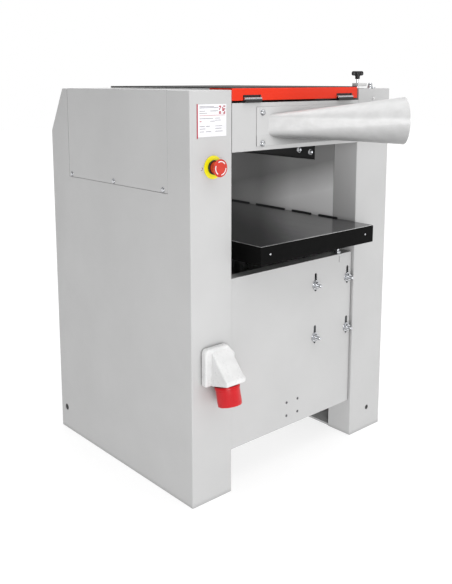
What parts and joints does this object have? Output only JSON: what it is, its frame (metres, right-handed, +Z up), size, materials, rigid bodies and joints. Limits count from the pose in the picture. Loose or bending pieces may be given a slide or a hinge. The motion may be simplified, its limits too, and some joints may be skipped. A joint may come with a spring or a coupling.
{
  "type": "thickness planer",
  "caption": "Cabinet thickness planer with a lifting table between two sheet-metal columns, a knife head with feed rollers above it, and a side dust hood.",
  "frame": {"origin": "middle of the overall box, on the floor", "axes": "+Z up; +X to the right seen from the outfeed side, where the dust hood is; +Y from the outfeed side to the infeed side"},
  "size_m": [0.7856, 1.0384, 1.13],
  "materials": {
    "grey_paint": "satin light grey powder coat",
    "white_paint": "gloss white paint",
    "red_paint": "gloss orange-red powder coat",
    "cast_iron_black": "black painted iron casting",
    "table_iron": "ground top, black painted apron",
    "bright_steel": "turned and ground steel",
    "knife_steel": "ground tool steel",
    "zinc_plate": "bright zinc plate",
    "black_plastic": "moulded black plastic",
    "red_plastic": "moulded signal red plastic",
    "yellow_plastic": "moulded yellow plastic",
    "green_plastic": "moulded green plastic",
    "white_plastic": "moulded white plastic",
    "motor_paint": "dark blue-grey motor enamel",
    "black_rubber": "rubber",
    "chain_steel": "oiled roller chain"
  },
  "bodies": {
    "cabinet": {"left_column": "grey_paint", "side_cover": "grey_paint", "left_inner_wall": "grey_paint", "right_column": "grey_paint", "right_inner_wall": "grey_paint", "left_foot_plate": "grey_paint", "right_foot_plate": "grey_paint", "outfeed_beam": "grey_paint", "infeed_beam": "grey_paint", "motor_panel": "grey_paint", "infeed_panel": "grey_paint", "base_tray": "grey_paint", "lift_chain": "chain_steel", "left_head_casting": "cast_iron_black", "right_head_casting": "cast_iron_black", "motor": "motor_paint", "motor_bolt_1": "zinc_plate", "motor_bolt_2": "zinc_plate", "motor_bolt_3": "zinc_plate", "motor_bolt_4": "zinc_plate", "drive_belt": "black_rubber", "tension_screw": "zinc_plate", "feed_gearbox": "cast_iron_black", "feed_chain": "chain_steel", "hinge_1": "zinc_plate", "hinge_2": "zinc_plate", "dust_hood": "white_paint", "estop_plate": "yellow_plastic", "estop_collar": "black_plastic", "inlet_housing": "white_plastic", "inlet_collar": "red_plastic", "control_box": "black_plastic"},
    "table": {"table": "table_iron", "table_edge_strip": "black_plastic", "table_post_1": "bright_steel", "table_post_2": "bright_steel"},
    "lift_screw_1": {"lift_screw_1": "bright_steel"},
    "lift_screw_2": {"lift_screw_2": "bright_steel"},
    "lift_shaft": {"lift_shaft": "bright_steel"},
    "handwheel": {"handwheel_shaft": "bright_steel", "handwheel": "black_plastic"},
    "handwheel_grip": {"handwheel_grip": "black_plastic"},
    "cutterhead": {"cutterhead": "bright_steel", "knife_1": "knife_steel", "knife_2": "knife_steel", "knife_3": "knife_steel", "cutterhead_pulley": "cast_iron_black"},
    "motor_rotor": {"motor_shaft": "bright_steel", "motor_pulley": "cast_iron_black"},
    "infeed_roller": {"infeed_roller": "bright_steel"},
    "outfeed_roller": {"outfeed_roller": "black_rubber"},
    "feed_sprocket": {"feed_sprocket": "bright_steel"},
    "feed_selector": {"feed_selector": "black_plastic"},
    "kickback_fingers": {"kickback_fingers": "cast_iron_black"},
    "chip_cover": {"chip_cover": "red_paint", "clamp_plate": "zinc_plate"},
    "clamp_knob": {"clamp_knob": "black_plastic"},
    "estop_button": {"estop_button": "red_plastic"},
    "start_button": {"start_button": "green_plastic"},
    "stop_button": {"stop_button": "red_plastic"}
  },
  "joints": [
    {"name": "table_lift", "type": "slide", "parent": "cabinet", "child": "table", "axis": [0, 0, 1], "range_m": [0, 0.22]},
    {"name": "lift_screw_1_turn", "type": "hinge", "parent": "cabinet", "child": "lift_screw_1", "pos_m": [-0.1298, 0.15222, 0.15], "axis": [0, 0, 1], "range_deg": [0, 19820]},
    {"name": "lift_screw_2_turn", "type": "hinge", "parent": "cabinet", "child": "lift_screw_2", "pos_m": [0.1552, 0.15222, 0.15], "axis": [0, 0, 1], "range_deg": [0, 19820]},
    {"name": "lift_shaft_turn", "type": "hinge", "parent": "cabinet", "child": "lift_shaft", "pos_m": [0.3189, 0.29222, 0.15], "axis": [0, 0, 1], "range_deg": [0, 19820]},
    {"name": "handwheel_turn", "type": "hinge", "parent": "cabinet", "child": "handwheel", "pos_m": [0.3189, 0.45622, 0.7], "axis": [0, 1, 0], "range_deg": [0, 19820]},
    {"name": "handwheel_grip_spin", "type": "hinge", "parent": "handwheel", "child": "handwheel_grip", "pos_m": [0.3189, 0.49222, 0.76], "axis": [0, 1, 0], "continuous": true},
    {"name": "cutterhead_spin", "type": "hinge", "parent": "cabinet", "child": "cutterhead", "pos_m": [0.0122, 0.07222, 0.961], "axis": [1, 0, 0], "continuous": true},
    {"name": "motor_spin", "type": "hinge", "parent": "cabinet", "child": "motor_rotor", "pos_m": [0.2602, -0.13378, 0.4355], "axis": [1, 0, 0], "continuous": true},
    {"name": "infeed_roller_spin", "type": "hinge", "parent": "cabinet", "child": "infeed_roller", "pos_m": [0.0122, 0.17722, 0.947], "axis": [1, 0, 0], "continuous": true},
    {"name": "outfeed_roller_spin", "type": "hinge", "parent": "cabinet", "child": "outfeed_roller", "pos_m": [0.0122, -0.03278, 0.947], "axis": [1, 0, 0], "continuous": true},
    {"name": "feed_sprocket_spin", "type": "hinge", "parent": "cabinet", "child": "feed_sprocket", "pos_m": [-0.3298, 0.07222, 0.88], "axis": [1, 0, 0], "continuous": true},
    {"name": "feed_selector_pull", "type": "slide", "parent": "cabinet", "child": "feed_selector", "axis": [0, 1, 0], "range_m": [0, 0.02]},
    {"name": "kickback_swing", "type": "hinge", "parent": "cabinet", "child": "kickback_fingers", "pos_m": [0.0122, 0.26722, 0.972], "axis": [1, 0, 0], "range_deg": [-50, 0]},
    {"name": "chip_cover_open", "type": "hinge", "parent": "cabinet", "child": "chip_cover", "pos_m": [-0.0068, -0.24978, 1.057], "axis": [1, 0, 0], "range_deg": [0, 100]},
    {"name": "clamp_knob_turn", "type": "hinge", "parent": "chip_cover", "child": "clamp_knob", "pos_m": [0.2492, -0.23778, 1.1], "axis": [0, 0, 1], "range_deg": [0, 1080]},
    {"name": "estop_push", "type": "slide", "parent": "cabinet", "child": "estop_button", "axis": [0, 1, 0], "range_m": [0, 0.005]},
    {"name": "start_push", "type": "slide", "parent": "cabinet", "child": "start_button", "axis": [0, -1, 0], "range_m": [0, 0.004], "stiffness_N_per_m": 1500},
    {"name": "stop_push", "type": "slide", "parent": "cabinet", "child": "stop_button", "axis": [0, -1, 0], "range_m": [0, 0.004], "stiffness_N_per_m": 1500}
  ],
  "couplings": [
    {"joint": "lift_screw_1_turn", "follows": "table_lift", "rad_per_m": 1570.8},
    {"joint": "lift_screw_2_turn", "follows": "table_lift", "rad_per_m": 1570.8},
    {"joint": "lift_shaft_turn", "follows": "table_lift", "rad_per_m": 1570.8},
    {"joint": "handwheel_turn", "follows": "table_lift", "rad_per_m": 1570.8},
    {"joint": "motor_spin", "follows": "cutterhead_spin", "ratio": 0.52941},
    {"joint": "outfeed_roller_spin", "follows": "infeed_roller_spin", "ratio": 1},
    {"joint": "feed_sprocket_spin", "follows": "infeed_roller_spin", "ratio": 1}
  ]
}
